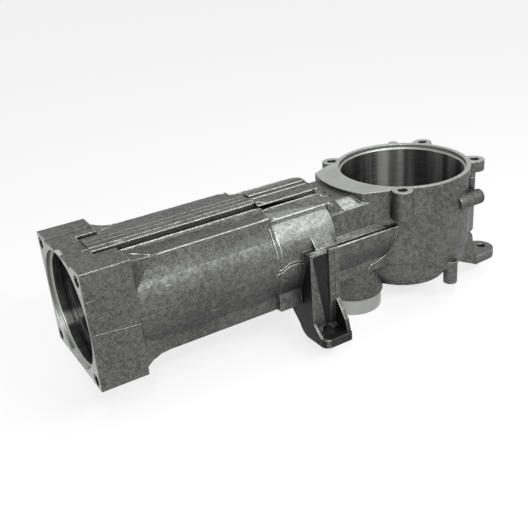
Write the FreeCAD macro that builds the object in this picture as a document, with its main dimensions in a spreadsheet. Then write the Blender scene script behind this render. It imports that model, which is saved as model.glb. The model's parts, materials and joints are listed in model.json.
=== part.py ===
"""Die cast right-angle gear motor housing, one casting.

Origin on the gear axis at the machined lid face.  +Z up out of the gear bore, the motor barrel
runs along -X below the lid face, +Y completes the frame.  Millimetres.
"""
import FreeCAD, Part
import math
import os
import Sketcher

doc = FreeCAD.newDocument("housing")

# ---------------------------------------------------------------- named sizes
SIZES = [
    ("axis_drop", 28.3, "motor axis below the lid face"),
    # motor flange and its bore
    ("flange_reach", 253.7, "gear axis to the flange face"),
    ("flange_thick", 30.0, "flange length along the barrel"),
    ("flange_side", 75.4, "side of the square flange"),
    ("flange_relief", 0.9, "relief of the flange edges between the corner pads"),
    ("corner_pad", 14.0, "width of a flange corner pad"),
    ("flange_bolts", 64.0, "flange bolt spacing, both ways"),
    ("tap_radius", 3.4, "M8 tapping hole"),
    ("tap_depth", 22.0, "depth of the tapping holes"),
    ("register_radius", 36.7, "motor register recess"),
    ("register_depth", 2.8, "depth of the register recess"),
    ("seat_bore", 34.8, "motor seat behind the register"),
    ("bore_radius", 33.4, "motor bore beyond the ring groove"),
    ("bore_length", 150.0, "motor bore, from the flange face"),
    ("bore_chamfer", 0.7, "lead-in of the machined bores"),
    ("ring_start", 9.0, "retaining ring groove, from the flange face"),
    ("ring_width", 3.0, "width of the ring groove"),
    ("ring_cut", 0.9, "depth of the ring groove in the wall"),
    # barrel
    ("barrel_radius", 37.2, "outside of the barrel"),
    ("rail_half", 29.0, "half width over the corner rails"),
    ("rail_top", 32.2, "rail top above the motor axis"),
    ("rail_draft", 0.9, "how far a rail side leans out downwards"),
    ("rail_side", 6.8, "height of an upper rail side"),
    ("rail_foot", 8.5, "height of a lower rail side"),
    ("cheek_half", 33.9, "where the cheek below a rail meets the round barrel"),
    ("cheek_rise", 13.6, "height of that line above the motor axis"),
    ("seam_rise", 0.3, "parting seam stands out from the barrel by this much"),
    ("seam_above", 0.8, "upper edge of the seam above the motor axis"),
    ("seam_below", 2.2, "lower edge of the seam below the motor axis"),
    ("flare", 17.0, "length over which the rails widen into the flange"),
    ("flare_setback", 2.4, "flare root inside the flange corner"),
    ("flare_waist", 6.8, "middle of the flare curve, from the flange"),
    ("flare_bow", 0.35, "share of the flare left at that middle"),
    ("band_half", 7.8, "half width of the top band"),
    ("band_rise", 0.5, "band above the barrel crown"),
    ("valley_half", 15.2, "outer edge of the valleys beside the band"),
    ("valley_cut", 2.3, "depth of the valleys"),
    ("valley_reach", 237.0, "gear axis to the flange end of the valleys"),
    # collar
    ("collar_reach", 128.4, "gear axis to the barrel end of the collar"),
    ("collar_end", 85.5, "gear axis to the neck end of the collar"),
    ("collar_radius", 38.0, "outside of the collar"),
    ("collar_rail", 27.4, "half width over the upper collar rails"),
    ("collar_rail_top", 29.6, "upper collar rail above the motor axis"),
    ("collar_shoulder", 17.6, "inner edge of the upper collar rails"),
    ("collar_shoulder_top", 33.4, "height of that edge above the motor axis"),
    ("collar_keel", 33.0, "half width over the lower collar rails"),
    ("keel_length", 20.0, "length of the lower collar rails"),
    ("keel_foot", 32.6, "underside of the lower collar rails, below the motor axis"),
    ("keel_side", 12.2, "height of the lower collar rails"),
    ("collar_groove", 15.6, "middle of each collar groove, from the centre plane"),
    ("groove_width", 4.0, "width of the collar grooves"),
    ("groove_cut", 3.0, "depth of the collar grooves"),
    ("crown_half", 3.0, "half width of the raised crown strip on the collar"),
    ("crown_step", 6.5, "half width of the step beside the crown strip"),
    ("ramp_end", 71.0, "foot of the ramp from the collar down to the neck, from the gear axis"),
    ("ramp_side", 20.0, "lower edge of the ramp above the motor axis"),
    # neck
    ("neck_radius", 36.0, "lower half of the neck"),
    ("neck_half", 30.0, "half width of the upper neck"),
    ("neck_top", 3.0, "top of the neck below the lid face"),
    ("neck_crown", 19.0, "half width of the flat top of the neck"),
    ("neck_shoulder", 7.6, "outer edge of the neck top, below the lid face"),
    ("neck_keel", 29.9, "underside of the neck below the motor axis"),
    ("patch_start", 73.0, "near end of the raised neck patch, from the gear axis"),
    ("patch_rise", 0.5, "height of the neck patch"),
    ("ledge_fillet", 3.4, "chamfer between the neck wall and the ledge"),
    ("ledge_groove", 1.3, "groove along the ledge"),
    ("ledge_drop", 26.6, "ledge along the neck below the lid face"),
    ("shaft_radius", 14.0, "pinion shaft passage"),
    ("bearing_radius", 23.5, "pinion bearing seat"),
    ("bearing_depth", 14.0, "depth of the pinion bearing seat"),
    # gear housing
    ("gear_recess_radius", 45.0, "lid register recess"),
    ("gear_recess_depth", 2.9, "depth of the lid register"),
    ("gear_bore_radius", 43.4, "gear bore"),
    ("gear_bore_depth", 60.0, "gear bore, from the lid face"),
    ("gear_wall_radius", 47.8, "outside of the gear housing"),
    ("rim_step", 0.5, "rim and lower wall stand out by this much"),
    ("rim_height", 4.5, "height of the rim"),
    ("waist_drop", 19.0, "parting step on the wall, below the lid face"),
    ("skirt_drop", 56.5, "lower step on the wall, below the lid face"),
    ("skirt_radius", 46.4, "wall below the lower step"),
    ("floor_drop", 72.0, "underside of the gear housing, below the lid face"),
    ("hub_radius", 33.0, "hub under the floor"),
    ("hub_height", 9.5, "hub below the floor"),
    ("seat_radius", 16.0, "bearing seat in the floor"),
    ("seat_depth", 9.0, "depth of the floor seat"),
    # lid face
    ("wing_radius", 63.0, "arc of the lid face over the neck"),
    ("wing_corner_back", 56.8, "wing corner, from the gear axis along the barrel"),
    ("wing_corner_half", 27.0, "wing corner, from the centre plane"),
    ("wing_side_back", 40.2, "end of the straight wing edge, along the barrel"),
    ("wing_side_half", 34.3, "end of the straight wing edge, from the centre plane"),
    ("wing_height", 25.0, "height of the wing block"),
    ("lug_radius", 7.0, "round of the screw lugs"),
    ("lug_spread", 1.2, "how much wider a lug is at its root, each side"),
    ("lid_hole_radius", 3.3, "M6 lid screw clearance"),
    ("rear_lug_circle", 51.5, "rear lugs, from the gear axis"),
    ("rear_lug_turn", 129.9, "rear lugs, degrees from the +X side"),
    ("rear_lug_height", 20.5, "height of the rear lugs"),
    ("front_lug_circle", 51.8, "front lugs, from the gear axis"),
    ("front_lug_turn", 31.9, "front lugs, degrees from the +X side"),
    ("front_lug_height", 8.0, "height of the front lugs"),
    ("nib_circle", 49.6, "locating nib, from the gear axis"),
    ("nib_turn", 57.0, "locating nib, degrees from the +X side"),
    ("nib_radius", 3.6, "round of the locating nib"),
    ("nib_height", 10.0, "height of the locating nib"),
    # side boss and post
    ("boss_radius", 5.3, "lever boss beside the gear housing"),
    ("boss_half", 43.6, "lever boss axis, from the centre plane"),
    ("boss_drop", 20.8, "lever boss axis, below the lid face"),
    ("boss_start", 12.0, "near end of the lever boss"),
    ("boss_end", 33.5, "far end of the lever boss"),
    ("boss_web", 4.0, "half height of the web behind the lever boss"),
    ("rib_face", 38.4, "outer face of the rib above the lever boss, from the centre plane"),
    ("rib_start", 29.5, "near side of that rib, from the gear axis"),
    ("post_radius", 4.9, "cast post"),
    ("post_ahead", 8.0, "post, from the gear axis"),
    ("post_half", 44.0, "post, from the centre plane"),
    ("post_drop", 80.0, "bottom of the post, below the lid face"),
    ("post_height", 17.5, "height of the post"),
    # feet under the neck
    ("foot_drop", 84.0, "underside of the feet, below the lid face"),
    ("pad_thick", 6.0, "thickness of the foot pads"),
    ("foot_back", 101.0, "foot hole, from the gear axis along the barrel"),
    ("foot_half", 47.5, "foot hole, from the centre plane"),
    ("foot_hole_radius", 4.3, "foot bolt hole"),
    ("foot_width", 22.0, "width of the foot along the barrel"),
    ("foot_edge", 58.0, "outer edge of the foot, from the centre plane"),
    ("foot_corner", 5.0, "round of the foot corner on the barrel side"),
    ("foot_nick", 2.0, "round of the foot corner on the gear side"),
    ("sole_half", 37.2, "inner edge of the sole, from the centre plane"),
    ("heel_half", 28.6, "where the round of the heel ends, from the centre plane"),
    ("heel_rise", 6.9, "height of that line above the sole"),
    ("heel_round", 12.0, "round between the sole and the arch"),
    ("arch_half", 20.6, "top of the arch, from the centre plane"),
    ("arch_rise", 14.2, "height of that line above the sole"),
    ("web_left", 2.2, "thickness of the web on the barrel side"),
    ("web_right", 3.2, "thickness of the web on the gear side"),
    ("column_width", 7.8, "width of the column beside that web"),
    ("web_half", 45.0, "outer edge of the webs, from the centre plane"),
    ("web_top_drop", 21.5, "top of the webs, below the lid face"),
    ("left_knee_drop", 71.0, "where the barrel side web starts to flare, below the lid face"),
    ("right_knee_drop", 58.0, "where the gear side web starts to flare, below the lid face"),
    ("flare_half", 53.7, "middle of the gear side flare, from the centre plane"),
    ("flare_drop", 70.0, "middle of the gear side flare, below the lid face"),
    ("web_recess", 1.8, "setback of the wall between the webs"),
    ("wall_peak_width", 14.5, "width of the raised top of that wall"),
    ("wall_peak_half", 34.0, "top of the wall between the webs, from the centre plane"),
    ("wall_peak_drop", 12.5, "top of the wall between the webs, below the lid face"),
    # feet beyond the gear housing
    ("toe_ahead", 64.0, "toe hole, from the gear axis"),
    ("toe_half", 19.3, "toe hole, from the centre plane"),
    ("toe_hole_radius", 3.3, "toe bolt hole"),
    ("toe_round", 11.4, "round of the toe, half its width"),
    ("toe_spread", 0.7, "how much wider the toe is at its root, each side"),
    ("toe_length", 72.0, "tip of the toe, from the gear axis"),
    ("toe_thick", 6.5, "thickness of the toe pad"),
    ("toe_web", 4.0, "thickness of the toe webs"),
    ("toe_web_top", 58.0, "top of the toe webs, below the lid face"),
    ("toe_web_foot", 2.5, "foot of the toe webs beyond the gear housing"),
    ("toe_heel", 32.5, "where the toes leave the underside, from the gear axis"),
    ("strip_ahead", 50.2, "outer face of the wall strip above each toe, from the gear axis"),
    # spigot under the neck
    ("spigot_back", 47.0, "spigot axis, from the gear axis along the barrel"),
    ("spigot_radius", 21.0, "machined spigot"),
    ("spigot_length", 12.0, "spigot below the feet"),
    ("spigot_boss", 1.4, "cast boss stands out from the spigot by this much"),
    ("spigot_bore", 15.5, "bore of the spigot"),
    ("spigot_bore_depth", 38.0, "depth of the spigot bore"),
    # shared
    ("overlap", 2.5, "how far one cast form reaches into the next"),
]

sheet = doc.addObject("Spreadsheet::Sheet", "Sizes")
for row, (name, value, meaning) in enumerate(SIZES, start=1):
    sheet.set("A%d" % row, name)
    sheet.set("B%d" % row, repr(value))
    sheet.set("C%d" % row, meaning)
    sheet.setAlias("B%d" % row, name)
doc.recompute()


class Size:
    """A length or angle together with the spreadsheet formula that drives it."""

    def __init__(self, value, formula):
        self.value = value
        self.formula = formula

    def __add__(self, other):
        other = as_size(other)
        return Size(self.value + other.value, "(%s + %s)" % (self.formula, other.formula))

    def __sub__(self, other):
        other = as_size(other)
        return Size(self.value - other.value, "(%s - %s)" % (self.formula, other.formula))

    def __mul__(self, other):
        other = as_size(other)
        return Size(self.value * other.value, "(%s * %s)" % (self.formula, other.formula))

    def __truediv__(self, other):
        other = as_size(other)
        return Size(self.value / other.value, "(%s / %s)" % (self.formula, other.formula))

    def __neg__(self):
        return Size(-self.value, "(0 - %s)" % self.formula)


def as_size(number):
    return number if isinstance(number, Size) else Size(float(number), "%.4f" % number)


def root(size):
    return Size(math.sqrt(size.value), "sqrt(%s)" % size.formula)


def beside(radius, offset):
    """Height of a circle of this radius at a sideways offset from its centre."""
    return root(radius * radius - offset * offset)


class Names:
    """Reaches a named size as an attribute."""

    def __getattr__(self, name):
        return Size(float(sheet.get(name)), "Sizes." + name)


v = Names()

# ---------------------------------------------------------------- helpers
body = doc.addObject("PartDesign::Body", "Housing")
body.Label = "housing"


def plane(role):
    for feature in body.Origin.OriginFeatures:
        if feature.Role == role:
            return feature


def drive(thing, path, size):
    size = as_size(size)
    thing.setExpression(path, size.formula)


def sketch_on(role, name, along=0, right=0, up=0, turn=None):
    """Sketch parallel to an origin plane, shifted along its normal and in its own directions."""
    sketch = body.newObject("Sketcher::SketchObject", name)
    sketch.AttachmentSupport = [(plane(role), "")]
    sketch.MapMode = "FlatFace"
    spin = FreeCAD.Rotation(FreeCAD.Vector(0, 0, 1), as_size(turn or 0).value)
    shift = FreeCAD.Vector(as_size(right).value, as_size(up).value, as_size(along).value)
    sketch.AttachmentOffset = FreeCAD.Placement(shift, spin)
    drive(sketch, "AttachmentOffset.Base.x", right)
    drive(sketch, "AttachmentOffset.Base.y", up)
    drive(sketch, "AttachmentOffset.Base.z", along)
    if turn is not None:
        drive(sketch, "AttachmentOffset.Rotation.Angle", turn)
    return sketch


def pin(sketch, geometry, end, x, y):
    """Hold one point of a sketch at driven coordinates."""
    for kind, size in (("DistanceX", as_size(x)), ("DistanceY", as_size(y))):
        held = sketch.addConstraint(
            Sketcher.Constraint(kind, -1, 1, geometry, end, size.value))
        drive(sketch, "Constraints[%d]" % held, size)


def circle(sketch, x, y, radius):
    centre = FreeCAD.Vector(as_size(x).value, as_size(y).value, 0)
    ring = sketch.addGeometry(Part.Circle(centre, FreeCAD.Vector(0, 0, 1), radius.value), False)
    pin(sketch, ring, 3, x, y)
    held = sketch.addConstraint(Sketcher.Constraint("Radius", ring, radius.value))
    drive(sketch, "Constraints[%d]" % held, radius)


def loop(sketch, corners):
    """Closed outline.  A corner (x, y, radius) starts an arc to the next corner.

    The arc turns left for a radius above zero and right for one below.
    """
    points = [FreeCAD.Vector(as_size(c[0]).value, as_size(c[1]).value, 0) for c in corners]
    first = []
    for index, corner in enumerate(corners):
        start = points[index]
        finish = points[(index + 1) % len(points)]
        if len(corner) == 2:
            edge = sketch.addGeometry(Part.LineSegment(start, finish), False)
            first.append((edge, 1, 2))
            continue
        bend = corner[2]
        chord = finish - start
        rise = math.sqrt(max(bend.value ** 2 - chord.Length ** 2 / 4, 0.0))
        side = 1 if bend.value > 0 else -1
        normal = FreeCAD.Vector(-chord.y, chord.x, 0).normalize() * side
        centre = (start + finish) / 2 + normal * rise
        opening, closing = (start, finish) if side > 0 else (finish, start)
        begin = math.atan2(opening.y - centre.y, opening.x - centre.x)
        end = math.atan2(closing.y - centre.y, closing.x - centre.x)
        round_edge = Part.Circle(centre, FreeCAD.Vector(0, 0, 1), abs(bend.value))
        edge = sketch.addGeometry(Part.ArcOfCircle(round_edge, begin, end), False)
        first.append((edge, 1, 2) if side > 0 else (edge, 2, 1))
        held = sketch.addConstraint(Sketcher.Constraint("Radius", edge, abs(bend.value)))
        drive(sketch, "Constraints[%d]" % held, bend if side > 0 else -bend)
    for index, (edge, begin, end) in enumerate(first):
        after = first[(index + 1) % len(first)]
        sketch.addConstraint(Sketcher.Constraint("Coincident", edge, end, after[0], after[1]))
        pin(sketch, edge, begin, corners[index][0], corners[index][1])


def across(corners, turned_axis):
    """The same outline on the other side of the centre plane."""
    other = []
    for index in range(len(corners) - 1, -1, -1):
        place = list(corners[index][:2])
        place[turned_axis] = -as_size(place[turned_axis])
        other.append(tuple(place) + tuple(corners[index - 1][2:]))
    return other


def twins(sketch, corners, turned_axis):
    """Outline together with its copy on the other side of the centre plane."""
    loop(sketch, corners)
    loop(sketch, across(corners, turned_axis))


def pad(sketch, name, length, back=False):
    feature = body.newObject("PartDesign::Pad", name)
    feature.Refine = False
    feature.Profile = sketch
    feature.Length = length.value
    drive(feature, "Length", length)
    feature.Reversed = back
    sketch.Visibility = False
    return feature


def pocket(sketch, name, length, back=False):
    feature = body.newObject("PartDesign::Pocket", name)
    feature.Refine = False
    feature.Profile = sketch
    feature.Length = length.value
    drive(feature, "Length", length)
    feature.Reversed = back
    sketch.Visibility = False
    return feature


def turned(kind, sketch, name, axis):
    feature = body.newObject("PartDesign::" + kind, name)
    feature.Refine = False
    feature.Profile = sketch
    feature.ReferenceAxis = (sketch, [axis])
    feature.Angle = 360
    sketch.Visibility = False
    return feature


def mirrored(features, name, role):
    feature = body.newObject("PartDesign::Mirrored", name)
    feature.Refine = False
    feature.Originals = features
    feature.MirrorPlane = (plane(role), [""])
    body.Tip = feature
    return feature


# ---------------------------------------------------------------- barrel
flange_rear = v.flange_reach - v.flange_thick
axis = -v.axis_drop
half = v.flange_side / 2


rail_outer = v.rail_half + v.rail_draft
seam_face = v.barrel_radius + v.seam_rise
# One side of the barrel section: upper rail, cheek, parting seam, lower rail.
rail_side = [
    (v.rail_half, v.rail_top), (rail_outer, v.rail_top - v.rail_side),
    (v.cheek_half, v.cheek_rise), (v.cheek_half, v.seam_above), (seam_face, v.seam_above),
    (seam_face, -v.seam_below), (v.cheek_half, -v.seam_below),
    (rail_outer, v.rail_foot - v.rail_top), (v.rail_half, -v.rail_top),
]

barrel_ring = sketch_on("YZ_Plane", "BarrelSection", along=-flange_rear, up=axis)
circle(barrel_ring, 0, 0, v.barrel_radius)
pad(barrel_ring, "Barrel", flange_rear - v.collar_end)

rail_box = sketch_on("YZ_Plane", "RailSection", along=-flange_rear, up=axis)
loop(rail_box, rail_side + across(rail_side, 0))
pad(rail_box, "Rails", flange_rear - v.collar_reach)

band_box = sketch_on("YZ_Plane", "BandSection", along=-v.valley_reach, up=axis)
loop(band_box, [
    (v.band_half, v.rail_top), (v.band_half, v.barrel_radius + v.band_rise),
    (-v.band_half, v.barrel_radius + v.band_rise), (-v.band_half, v.rail_top),
])
pad(band_box, "TopBand", v.valley_reach - v.collar_reach)

# ---------------------------------------------------------------- collar
collar_length = v.collar_reach - v.collar_end
collar_ring = sketch_on("YZ_Plane", "CollarSection", along=-v.collar_reach, up=axis)
circle(collar_ring, 0, 0, v.collar_radius)
pad(collar_ring, "Collar", collar_length)

collar_box = sketch_on("YZ_Plane", "CollarRailSection", along=-v.collar_reach, up=axis)
loop(collar_box, [
    (v.collar_rail + v.rail_draft, 0), (v.collar_rail, v.collar_rail_top),
    (v.collar_shoulder, v.collar_shoulder_top), (-v.collar_shoulder, v.collar_shoulder_top),
    (-v.collar_rail, v.collar_rail_top), (-v.collar_rail - v.rail_draft, 0),
    (-v.rail_half, -v.rail_top), (v.rail_half, -v.rail_top),
])
pad(collar_box, "CollarRails", collar_length)

keel_box = sketch_on("YZ_Plane", "KeelSection", along=-v.collar_reach, up=axis)
keel_side = [
    (v.collar_keel - v.rail_draft, v.keel_side - v.keel_foot), (v.collar_keel, -v.keel_foot),
]
loop(keel_box, keel_side + across(keel_side, 0))
pad(keel_box, "CollarKeels", v.keel_length)

crown_box = sketch_on("YZ_Plane", "CrownSection", along=-v.collar_reach, up=axis)
step_top = v.collar_radius
crown_side = [
    (v.crown_half, v.collar_radius + v.band_rise * 2), (v.crown_half, step_top),
    (v.crown_step, step_top), (v.crown_step, v.rail_top),
]
loop(crown_box, crown_side + across(crown_side, 0))
pad(crown_box, "CrownStrip", collar_length)

# ---------------------------------------------------------------- flange
notch = v.corner_pad - half
flange_plate = sketch_on("YZ_Plane", "FlangeOutline", along=-v.flange_reach, up=axis)
loop(flange_plate, [
    (half, -half), (half, half),
    (-notch, half), (-notch - v.flange_relief, half - v.flange_relief),
    (notch + v.flange_relief, half - v.flange_relief), (notch, half),
    (-half, half), (-half, -half),
    (notch, -half), (notch + v.flange_relief, v.flange_relief - half),
    (-notch - v.flange_relief, v.flange_relief - half), (-notch, -half),
])
pad(flange_plate, "Flange", v.flange_thick)

# The rails widen into the flange corners: a loft above, one below, both mirrored across.
inner = v.rail_half / 2


def corner_flare(name, up):
    """Concave loft from a flange corner to the rail; up is 1 for the top, -1 for the bottom."""
    root_edge = half - v.flare_setback
    stations = [
        (as_size(0), root_edge, root_edge),
        (v.flare_waist, v.rail_half + (root_edge - v.rail_half) * v.flare_bow,
         v.rail_top + (root_edge - v.rail_top) * v.flare_bow),
        (v.flare, v.rail_half + v.rail_draft / 2, v.rail_top),
    ]
    sections = []
    for number, (ahead, out, top) in enumerate(stations):
        section = sketch_on("YZ_Plane", "%sSection%d" % (name, number),
                            along=ahead - flange_rear, up=axis)
        loop(section, [(inner, inner * up), (out, inner * up), (out, top * up), (inner, top * up)])
        section.Visibility = False
        sections.append(section)
    feature = body.newObject("PartDesign::AdditiveLoft", name)
    feature.Refine = False
    feature.Profile = sections[0]
    feature.Sections = sections[1:]
    feature.Ruled = False
    doc.recompute()
    return feature


flare_top = corner_flare("FlareTop", 1)
flare_bottom = corner_flare("FlareBottom", -1)
mirrored([flare_top, flare_bottom], "FlaresAcross", "XZ_Plane")


def valleys(name, start, length, near, far, floor):
    """Pair of longitudinal valleys with curved floors, beside the centre plane."""
    section = sketch_on("YZ_Plane", name + "Section", along=-start, up=axis)
    twins(section, [
        (far, beside(floor, far), floor), (near, beside(floor, near)),
        (near, v.flange_side), (far, v.flange_side),
    ], 0)
    pocket(section, name, length, back=True)


valleys("BarrelValleys", v.valley_reach, v.valley_reach - v.collar_reach,
        v.band_half, v.valley_half, v.barrel_radius - v.valley_cut)
valleys("CollarValleys", v.collar_reach, collar_length,
        v.collar_groove - v.groove_width / 2, v.collar_groove + v.groove_width / 2,
        v.collar_radius - v.groove_cut)

# ---------------------------------------------------------------- neck
ledge = v.axis_drop - v.ledge_drop
crown = v.axis_drop - v.neck_top
shoulder = v.axis_drop - v.neck_shoulder
neck_side = beside(v.neck_radius, ledge)
neck_length = v.collar_end - v.wing_corner_half
slope_foot = v.neck_half + v.ledge_fillet
groove_side = slope_foot + v.ledge_groove
neck_form = sketch_on("YZ_Plane", "NeckSection", along=-v.collar_end, up=axis)
neck_edge = v.neck_half - v.rail_draft
neck_right = [
    (neck_side, ledge), (groove_side, ledge), (groove_side, ledge - v.ledge_groove),
    (slope_foot, ledge - v.ledge_groove), (slope_foot, ledge + v.patch_rise),
    (v.neck_half, ledge + v.ledge_fillet), (neck_edge, shoulder), (v.neck_crown, crown),
]
neck_left = across(neck_right, 0)
loop(neck_form, neck_right + neck_left[:-1] + [
    (-neck_side, ledge, v.neck_radius), (0, -v.neck_radius, v.neck_radius),
])
pad(neck_form, "Neck", neck_length)

patch = sketch_on("YZ_Plane", "PatchSection", along=-v.patch_start, up=axis)
patch_side = [
    (neck_edge, 0), (neck_edge, shoulder + v.patch_rise), (v.neck_crown, crown + v.patch_rise),
]
loop(patch, patch_side + across(patch_side, 0))
pad(patch, "NeckPatch", v.patch_start - v.wing_side_back)

ramp_sections = []
for name, reach, ramp_half in (
    ("RampTop", v.collar_end, [
        (v.collar_rail, v.ramp_side), (v.collar_rail, v.collar_rail_top),
        (v.collar_shoulder, v.collar_shoulder_top), (v.crown_step, v.collar_radius),
    ]),
    ("RampFoot", v.ramp_end, [
        (v.collar_rail, v.ramp_side - v.overlap), (v.collar_rail, shoulder),
        (v.collar_shoulder, crown), (v.crown_step, crown),
    ]),
):
    ramp = sketch_on("YZ_Plane", name, along=-reach, up=axis)
    loop(ramp, ramp_half + across(ramp_half, 0))
    ramp.Visibility = False
    ramp_sections.append(ramp)
collar_ramp = body.newObject("PartDesign::AdditiveLoft", "CollarRamp")
collar_ramp.Refine = False
collar_ramp.Profile = ramp_sections[0]
collar_ramp.Sections = ramp_sections[1:]
collar_ramp.Ruled = True

neck_rails = sketch_on("YZ_Plane", "NeckRailSection", along=-v.collar_end, up=axis)
loop(neck_rails, [
    (rail_outer, 0), (-rail_outer, 0), (-v.rail_half, -v.neck_keel), (v.rail_half, -v.neck_keel),
])
pad(neck_rails, "NeckRails", neck_length)

# ---------------------------------------------------------------- gear housing
wall = v.gear_wall_radius
gear_profile = sketch_on("XZ_Plane", "GearProfile")
loop(gear_profile, [
    (0, 0), (wall + v.rim_step, 0), (wall + v.rim_step, -v.rim_height),
    (wall, -v.rim_height - v.rim_step), (wall, -v.waist_drop),
    (wall + v.rim_step, -v.waist_drop - v.rim_step), (wall + v.rim_step, -v.skirt_drop),
    (v.skirt_radius, -v.skirt_drop - v.rim_step), (v.skirt_radius, v.rim_height - v.floor_drop),
    (v.skirt_radius - v.rim_height, -v.floor_drop), (v.hub_radius, -v.floor_drop),
    (v.hub_radius - v.rim_step, -v.floor_drop - v.hub_height),
    (0, -v.floor_drop - v.hub_height),
])
turned("Revolution", gear_profile, "GearHousing", "V_Axis")

wing = sketch_on("XY_Plane", "WingOutline")
loop(wing, [
    (0, -v.wing_side_half), (0, v.wing_side_half), (-v.wing_side_back, v.wing_side_half),
    (-v.wing_corner_back, v.wing_corner_half, v.wing_radius),
    (-v.wing_corner_back, -v.wing_corner_half), (-v.wing_side_back, -v.wing_side_half),
])
pad(wing, "Wing", v.wing_height, back=True)


def lug(name, circle_radius, turn, nose, height):
    """Ear on the gear housing, its nose round a hole on the given circle."""
    ear = sketch_on("XY_Plane", name + "Outline", turn=turn)
    heel = circle_radius - nose * 2
    spread = nose + v.lug_spread
    loop(ear, [
        (heel, -spread), (circle_radius, -nose, nose), (circle_radius + nose, 0, nose),
        (circle_radius, nose), (heel, spread),
    ])
    return pad(ear, name, height, back=True)


rear_lug = lug("RearLug", v.rear_lug_circle, v.rear_lug_turn, v.lug_radius, v.rear_lug_height)
front_lug = lug("FrontLug", v.front_lug_circle, v.front_lug_turn, v.lug_radius,
                v.front_lug_height)
mirrored([rear_lug, front_lug], "LugsAcross", "XZ_Plane")
lug("Nib", v.nib_circle, v.nib_turn, v.nib_radius, v.nib_height)

# ---------------------------------------------------------------- lever boss and post
boss_ring = sketch_on("YZ_Plane", "BossSection", along=v.boss_start)
circle(boss_ring, -v.boss_half, -v.boss_drop, v.boss_radius)
pad(boss_ring, "LeverBoss", v.boss_end - v.boss_start)

boss_web = sketch_on("YZ_Plane", "BossWebSection", along=v.boss_start)
web_reach = v.boss_half / 2
loop(boss_web, [
    (-v.boss_half, -v.boss_drop - v.boss_web), (-web_reach, -v.boss_drop - v.boss_web),
    (-web_reach, v.boss_web - v.boss_drop), (-v.boss_half, v.boss_web - v.boss_drop),
])
pad(boss_web, "LeverBossWeb", v.boss_end - v.boss_start - v.overlap)

rib = sketch_on("YZ_Plane", "BossRibSection", along=v.rib_start)
loop(rib, [
    (-v.rib_face, -v.boss_drop), (-web_reach, -v.boss_drop),
    (-web_reach, -v.rim_height), (-v.rib_face, -v.front_lug_height),
])
pad(rib, "BossRib", v.boss_end - v.rib_start)

post = sketch_on("XY_Plane", "PostSection", along=-v.post_drop)
circle(post, v.post_ahead, -v.post_half, v.post_radius)
pad(post, "Post", v.post_height)

# ---------------------------------------------------------------- feet under the neck
foot_start = v.foot_back + v.foot_width / 2
foot_stop = foot_start - v.foot_width
pad_top = v.pad_thick - v.foot_drop
inside = v.rail_half / 2
# Underside of a foot, from the sole up over the heel to the arch below the neck.
underside = [
    (-v.sole_half, -v.foot_drop, v.heel_round), (-v.heel_half, v.heel_rise - v.foot_drop),
    (-v.arch_half, v.arch_rise - v.foot_drop), (-inside, v.arch_rise + v.overlap - v.foot_drop),
]


def foot_part(name, start, width, outline):
    """Wall or web of both feet, standing across the barrel."""
    section = sketch_on("YZ_Plane", name + "Section", along=start)
    twins(section, outline + underside, 0)
    pad(section, name, width)


foot_part("WebOne", -foot_start, v.web_left, [
    (-inside, -v.web_top_drop), (-v.web_half, -v.web_top_drop),
    (-v.web_half, -v.left_knee_drop), (-v.foot_edge + v.foot_corner, pad_top),
    (-v.foot_edge + v.foot_corner, -v.foot_drop),
])
foot_part("WebTwo", -foot_stop - v.web_right, v.web_right, [
    (-inside, -v.web_top_drop), (-v.web_half, -v.web_top_drop),
    (-v.web_half, -v.right_knee_drop), (-v.flare_half, -v.flare_drop),
    (-v.foot_edge + v.foot_nick, pad_top), (-v.foot_edge + v.foot_nick, -v.foot_drop),
])
wall_face = v.web_half - v.web_recess
foot_part("WallPeak", -foot_stop - v.wall_peak_width, v.wall_peak_width, [
    (-inside, -v.wall_peak_drop), (-v.wall_peak_half, -v.wall_peak_drop),
    (-wall_face, -v.web_top_drop - v.overlap), (-wall_face, -v.right_knee_drop),
])
foot_part("BackWall", -foot_start, v.foot_width, [
    (-inside, -v.web_top_drop), (v.web_recess - wall_face, -v.web_top_drop),
    (-wall_face, -v.web_top_drop - v.overlap), (-wall_face, pad_top + v.overlap),
    (-wall_face - v.overlap, pad_top), (-wall_face - v.overlap, -v.foot_drop),
])
foot_part("Column", -foot_stop - v.column_width, v.column_width, [
    (-inside, -v.web_top_drop), (-v.web_half + v.web_recess / 3, -v.web_top_drop),
    (-v.web_half + v.web_recess / 3, -v.right_knee_drop), (-wall_face, pad_top),
    (-wall_face, -v.foot_drop),
])

foot_plate = sketch_on("XY_Plane", "FootPlate", along=-v.foot_drop)
twins(foot_plate, [
    (-foot_start, -v.sole_half), (-foot_start, v.foot_corner - v.foot_edge, v.foot_corner),
    (v.foot_corner - foot_start, -v.foot_edge),
    (-foot_stop - v.foot_nick, -v.foot_edge, v.foot_nick),
    (-foot_stop, v.foot_nick - v.foot_edge), (-foot_stop, -v.sole_half),
], 1)
pad(foot_plate, "FootPad", v.pad_thick)

# ---------------------------------------------------------------- toes beyond the gear housing
toe_near = v.toe_half + v.toe_round
toe_far = v.toe_half - v.toe_round
toe_top = v.toe_thick - v.foot_drop
wedge = sketch_on("XZ_Plane", "ToeWedgeProfile", along=toe_far)
wedge_tip = v.skirt_radius + v.toe_web_foot * 2
loop(wedge, [
    (v.toe_heel, -v.skirt_drop), (v.skirt_radius - v.rim_height, -v.skirt_drop),
    (v.skirt_radius, toe_top), (wedge_tip, toe_top), (wedge_tip, -v.foot_drop),
    (v.skirt_radius + v.rim_step, -v.foot_drop), (v.toe_heel, toe_top),
])
wedge_pad = pad(wedge, "ToeWedge", v.toe_round * 2)


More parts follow.
